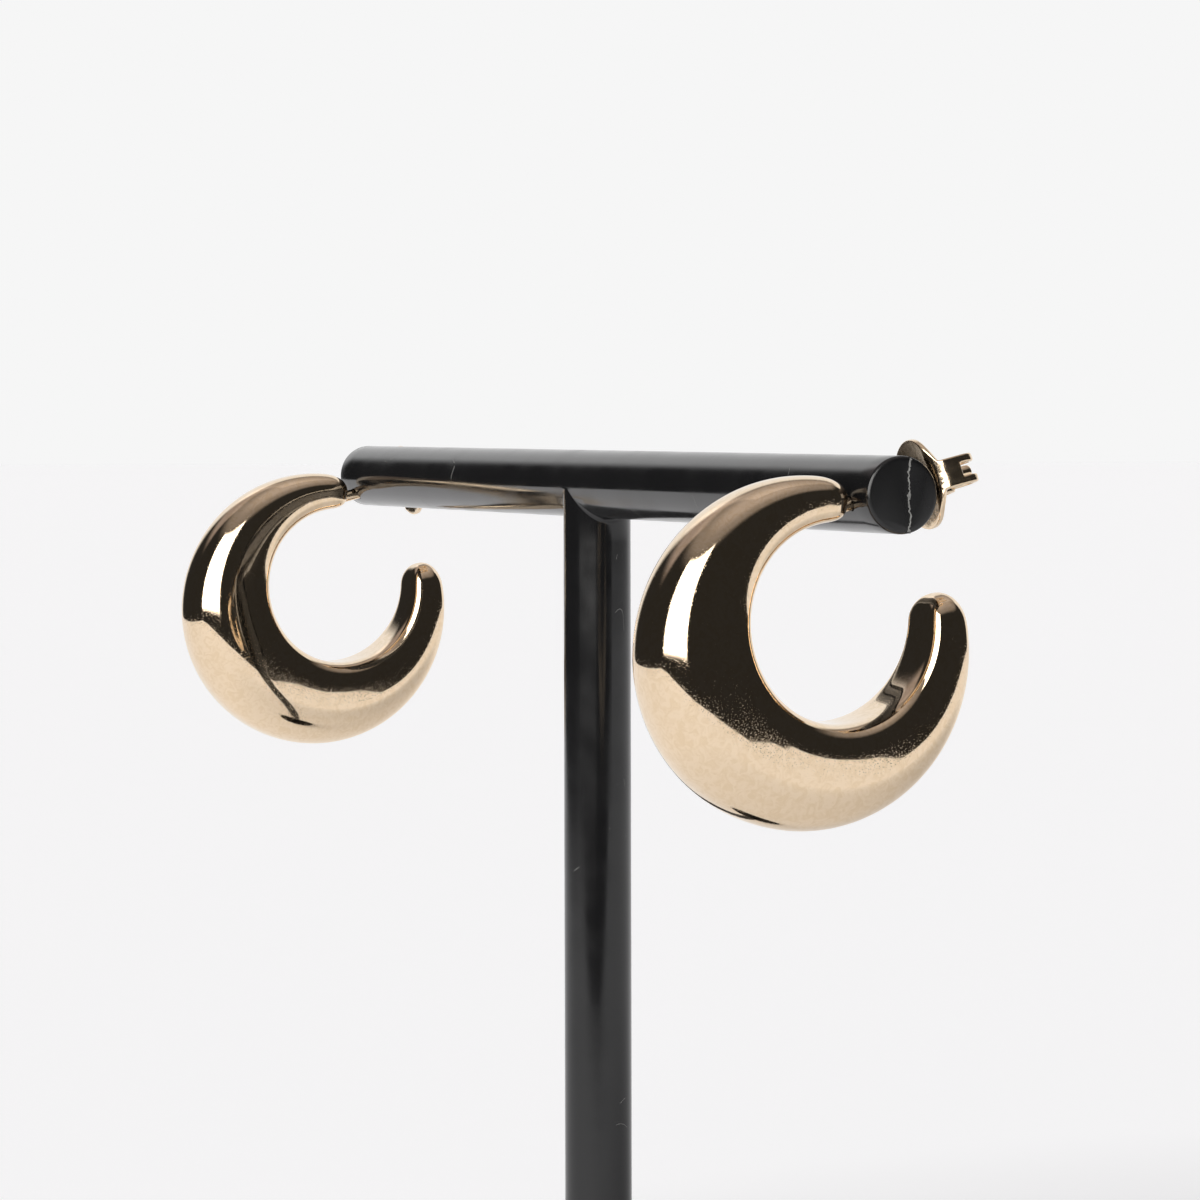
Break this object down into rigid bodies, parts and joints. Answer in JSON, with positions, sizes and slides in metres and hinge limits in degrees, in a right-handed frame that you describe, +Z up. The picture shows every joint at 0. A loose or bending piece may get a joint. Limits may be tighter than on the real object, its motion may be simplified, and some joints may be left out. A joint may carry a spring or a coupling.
{
  "type": "hoop earring pair on t-bar stand",
  "caption": "Chunky crescent hoop earrings in polished pale gold, hung by posts and butterfly nuts from a round glossy black T-bar display stand.",
  "frame": {"origin": "centre of the flat underside of the stand's round base, on the stem's axis", "axes": "+Z up along the stem, +X along the crossbar towards the near earring of the picture, -Y towards the hoops"},
  "size_m": [0.1044, 0.03, 0.0935],
  "materials": {
    "stand_plastic": "glossy black moulded plastic",
    "polished_gold": "mirror polished pale gold plating with fine wear",
    "nut_gold": "bright barrel polished pale gold plating"
  },
  "bodies": {
    "root": {"stand_base": "stand_plastic", "stand_t_bar": "stand_plastic", "near_hoop": "polished_gold", "near_butterfly_nut": "nut_gold", "far_hoop": "polished_gold", "far_butterfly_nut": "nut_gold"}
  },
  "joints": []
}
